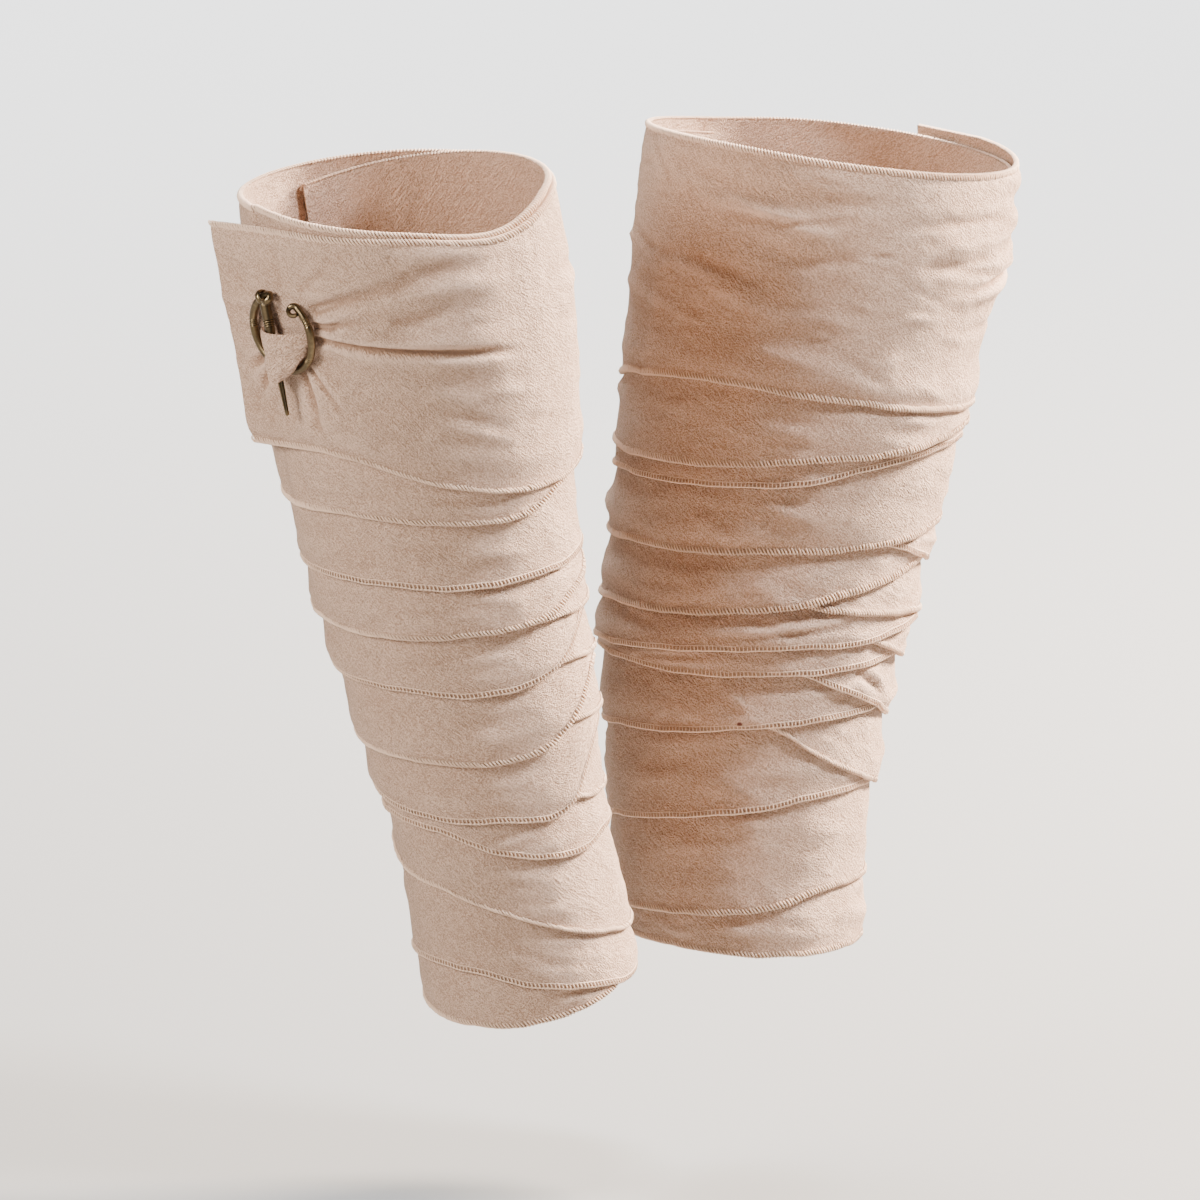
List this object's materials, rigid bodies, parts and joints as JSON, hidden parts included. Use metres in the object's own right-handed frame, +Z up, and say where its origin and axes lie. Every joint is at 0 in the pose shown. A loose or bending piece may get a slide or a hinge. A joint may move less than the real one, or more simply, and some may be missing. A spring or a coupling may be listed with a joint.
{
  "type": "pair of leg wraps",
  "caption": "Pair of cloth strips wound in overlapping turns round both lower legs from ankle to below the knee, each closed at its outer side with a ring brooch.",
  "frame": {"origin": "midway between the two calves, where the wearer's legs hold the wraps", "axes": "+Z up, -Y the way the wearer faces, +X the wearer's left"},
  "size_m": [0.384, 0.1586, 0.3377],
  "materials": {
    "cloth": "matte crinkled plain weave with overlocked edges",
    "bronze": "antiqued bronze, satin with dark recesses"
  },
  "bodies": {
    "root": {"right_turn_01": "cloth", "right_turn_02": "cloth", "right_turn_03": "cloth", "right_turn_04": "cloth", "right_turn_05": "cloth", "right_turn_06": "cloth", "right_turn_07": "cloth", "right_turn_08": "cloth", "right_turn_09": "cloth", "right_turn_10": "cloth", "right_turn_11": "cloth", "right_turn_12": "cloth", "right_turn_13": "cloth", "right_turn_14": "cloth", "right_under_band": "cloth", "right_top_band": "cloth", "left_turn_01": "cloth", "left_turn_02": "cloth", "left_turn_03": "cloth", "left_turn_04": "cloth", "left_turn_05": "cloth", "left_turn_06": "cloth", "left_turn_07": "cloth", "left_turn_08": "cloth", "left_turn_09": "cloth", "left_turn_10": "cloth", "left_turn_11": "cloth", "left_turn_12": "cloth", "left_turn_13": "cloth", "left_turn_14": "cloth", "left_turn_15": "cloth", "left_under_band": "cloth", "left_top_band": "cloth", "right_pinned_puff": "cloth", "left_pinned_puff": "cloth", "right_brooch_ring": "bronze", "left_brooch_ring": "bronze", "right_brooch_pin": "bronze", "left_brooch_pin": "bronze"}
  },
  "joints": []
}
